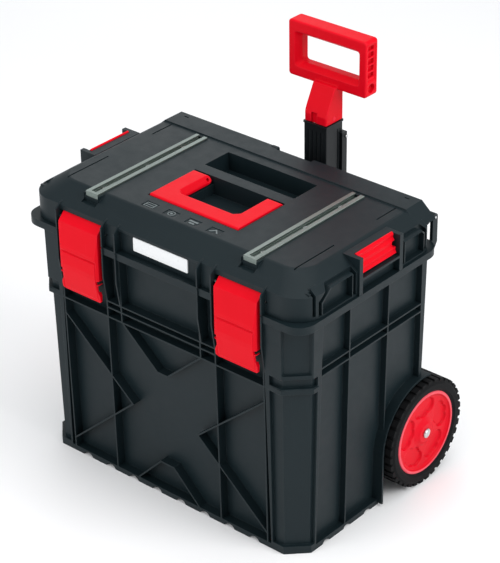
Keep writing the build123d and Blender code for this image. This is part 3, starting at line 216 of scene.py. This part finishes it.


# for the plastics below, the third colour is a wear tone that also paints highlights along edges and ridges
BODY = plastic("charcoal_polypropylene", (0.0060, 0.0122, 0.0150), (0.0074, 0.0146, 0.0176), (0.042, 0.058, 0.064),
               rough=0.43, edge_rub_and_highlight=0.5, spec=0.18)
TRIM = plastic("black_nylon", (0.0046, 0.0062, 0.0074), (0.0062, 0.008, 0.0094), (0.036, 0.042, 0.045), rough=0.38,
               edge_rub_and_highlight=0.4, spec=0.2)
# the crease colours below are painted shade for the creases of the red skins
RED = plastic("red_polypropylene", (0.66, 0.0005, 0.0085), (0.71, 0.0008, 0.011), (0.88, 0.045, 0.085), rough=0.42,
              grain=1100.0, height=0.00012, edge_rub_and_highlight=0.45, spec=0.08, crease_shade=(0.20, 0.0003, 0.004))
RIM = plastic("wheel_disc_polypropylene", (0.62, 0.001, 0.0105), (0.68, 0.0015, 0.014), (0.86, 0.06, 0.10), rough=0.40,
              grain=1000.0, height=0.00012, edge_rub_and_highlight=0.35, spec=0.10, crease_shade=(0.24, 0.0004, 0.005),
              # the ring tone is a painted highlight on the wheel lip
              lip_highlight_ring=(0.0831, 0.087, 0.0618, 0.0664, (0.86, 0.16, 0.20)))
RAIL = metal("brushed_aluminium", (0.20, 0.24, 0.222), (0.30, 0.348, 0.325), 0.46, (1500.0, 9.0, 1500.0),
             edge_bright=(0.55, 0.6, 0.575))
STEEL = metal("zinc_plated_steel", (0.50, 0.51, 0.52), (0.66, 0.66, 0.66), 0.30, (220.0, 220.0, 220.0), aniso=0.0)
TUBE = metal("bright_steel_tube", (0.52, 0.53, 0.54), (0.66, 0.67, 0.68), 0.26, (900.0, 900.0, 7.0), aniso=0.3)
TYRE = rubber("tyre_rubber", (0.0028, 0.0030, 0.0036), (0.0044, 0.0046, 0.0053), (0.02, 0.0198, 0.0195), spec=0.15)
SEAL = rubber("seal_rubber", (0.012, 0.012, 0.012), (0.02, 0.02, 0.02), (0.05, 0.05, 0.05), rough=0.8)
LABEL = plastic("white_name_plate", (0.78, 0.79, 0.80), (0.83, 0.84, 0.85), (0.6, 0.6, 0.6), rough=0.3, edge_rub_and_highlight=0.2,
                height=0.00006, spec=0.5)
ICON = plastic("pale_grey_print", (0.10, 0.125, 0.13), (0.13, 0.155, 0.16), (0.06, 0.066, 0.07), rough=0.5, edge_rub_and_highlight=0.3,
               height=0.00008)
LOOK = {"body_black": BODY, "black_trim": TRIM, "red": RED, "rail": RAIL, "steel": STEEL, "tyre": TYRE,
        "seal": SEAL, "label": LABEL, "icon": ICON}
SLOT_OF = {s["node"]: s["material_slot"] for s in frame["record"]["subparts"]}
SPECIAL = {"wheel_rim_left": RIM, "wheel_rim_right": RIM, "mast_inner": TUBE}
BODY_OF = {n: b for b, ns in frame["record"]["behaviour"]["bodies"].items() for n in ns}


# ---------------------------------------------------------------- softened skins
def moulded(node, voxel, rounds=6, keep=1.0):
    """A finished copy of a CAD node, remeshed fine and relaxed so that every corner is really rounded, as moulding
    leaves it. Flats stay flat, because relaxing only moves what is bent."""
    me = nodes[node].data.copy()
    me.name = node + "_skin"
    bm = bmesh.new()
    bm.from_mesh(me)
    bmesh.ops.remove_doubles(bm, verts=bm.verts, dist=2e-6)
    bm.to_mesh(me)
    bm.free()
    ob = bpy.data.objects.new(node + "_skin", me)
    scene.collection.objects.link(ob)
    rm = ob.modifiers.new("remesh", "REMESH")
    rm.mode = "VOXEL"
    rm.voxel_size = voxel
    sm = ob.modifiers.new("relax", "SMOOTH")
    sm.factor = 0.5
    sm.iterations = rounds
    dg = bpy.context.evaluated_depsgraph_get()
    done = bpy.data.meshes.new_from_object(ob.evaluated_get(dg))
    ob.modifiers.clear()
    ob.data = done
    done.name = node + "_skin"
    bpy.data.meshes.remove(me)
    done.shade_smooth()
    done.materials.clear()
    done.materials.append(SPECIAL.get(node, LOOK[SLOT_OF[node]]))
    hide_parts(node)
    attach(ob, BODY_OF[node])
    return ob


for name, ob in nodes.items():
    ob.data.materials.clear()
    ob.data.materials.append(SPECIAL.get(name, LOOK[SLOT_OF[name]]))

for node, voxel, rounds in (("handle_head", 0.0009, 5), ("lid_handle", 0.0007, 4), ("latch_left", 0.0006, 3),
                            ("latch_right", 0.0006, 3), ("clip_left", 0.0005, 3), ("clip_right", 0.0005, 3),
                            ("wheel_rim_left", 0.0008, 4), ("wheel_rim_right", 0.0008, 4)):
    moulded(node, voxel, rounds)


# ---------------------------------------------------------------- stage, light, camera
def area(name, loc, target, size, energy, colour=(1, 1, 1), size_y=None):
    d = bpy.data.lights.new(name, "AREA")
    d.energy = energy
    d.color = colour
    d.shape = "RECTANGLE"
    d.size = size
    d.size_y = size_y or size
    o = bpy.data.objects.new(name, d)
    o.location = loc
    o.rotation_mode = "QUATERNION"
    o.rotation_quaternion = (Vector(target) - Vector(loc)).to_track_quat("-Z", "Y")
    scene.collection.objects.link(o)
    return o


bm = bmesh.new()
bmesh.ops.create_grid(bm, x_segments=8, y_segments=8, size=6.0)
floor_me = bpy.data.meshes.new("floor")
bm.to_mesh(floor_me)
bm.free()
floor = bpy.data.objects.new("floor", floor_me)
scene.collection.objects.link(floor)
fl = Net("pale_floor")
fl.link(fl.mix(fl.noise(3.0), (0.935, 0.935, 0.94), (0.95, 0.95, 0.955)), fl.bsdf.inputs["Base Color"])
fl.bsdf.inputs["Roughness"].default_value = 0.75
floor_me.materials.append(fl.mat)

scene.view_settings.view_transform = "Standard"

world = bpy.data.worlds.new("studio")
scene.world = world
world.use_nodes = True
bg = next(n for n in world.node_tree.nodes if n.type == "BACKGROUND")
bg.inputs[0].default_value = (0.96, 0.98, 1.0, 1.0)
bg.inputs[1].default_value = 0.62

area("key", (2.3, 0.3, 1.9), (0, 0, 0.2), 1.6, 46.0)
area("front_fill", (-0.7, -2.9, 1.5), (0, 0, 0.2), 2.0, 36.0)
area("overhead", (0.0, 0.0, 2.9), (0, 0, 0.2), 2.4, 26.0)
area("back_strip", (-1.9, 1.9, 1.5), (0, 0, 0.4), 1.0, 7.0, size_y=2.2)

cam_data = bpy.data.cameras.new("photo_view")
cam_data.sensor_width = 36.0
cam_data.sensor_fit = "AUTO"
cam_data.lens = 2171.09 * 36.0 / 563.0
cam_data.clip_start = 0.05
cam_data.clip_end = 60.0
cam = bpy.data.objects.new("photo_view", cam_data)
right = Vector((0.7591256, 0.65082489, -0.01246131))
down = Vector((0.31697335, -0.38630441, -0.86619675))
ahead = Vector((-0.56855626, 0.65360222, -0.49954771))
cam.matrix_world = Matrix((
    (right.x, -down.x, -ahead.x, 1.84023),
    (right.y, -down.y, -ahead.y, -2.21114 + 0.0941),
    (right.z, -down.z, -ahead.z, 1.90332),
    (0, 0, 0, 1)))
scene.collection.objects.link(cam)
scene.camera = cam
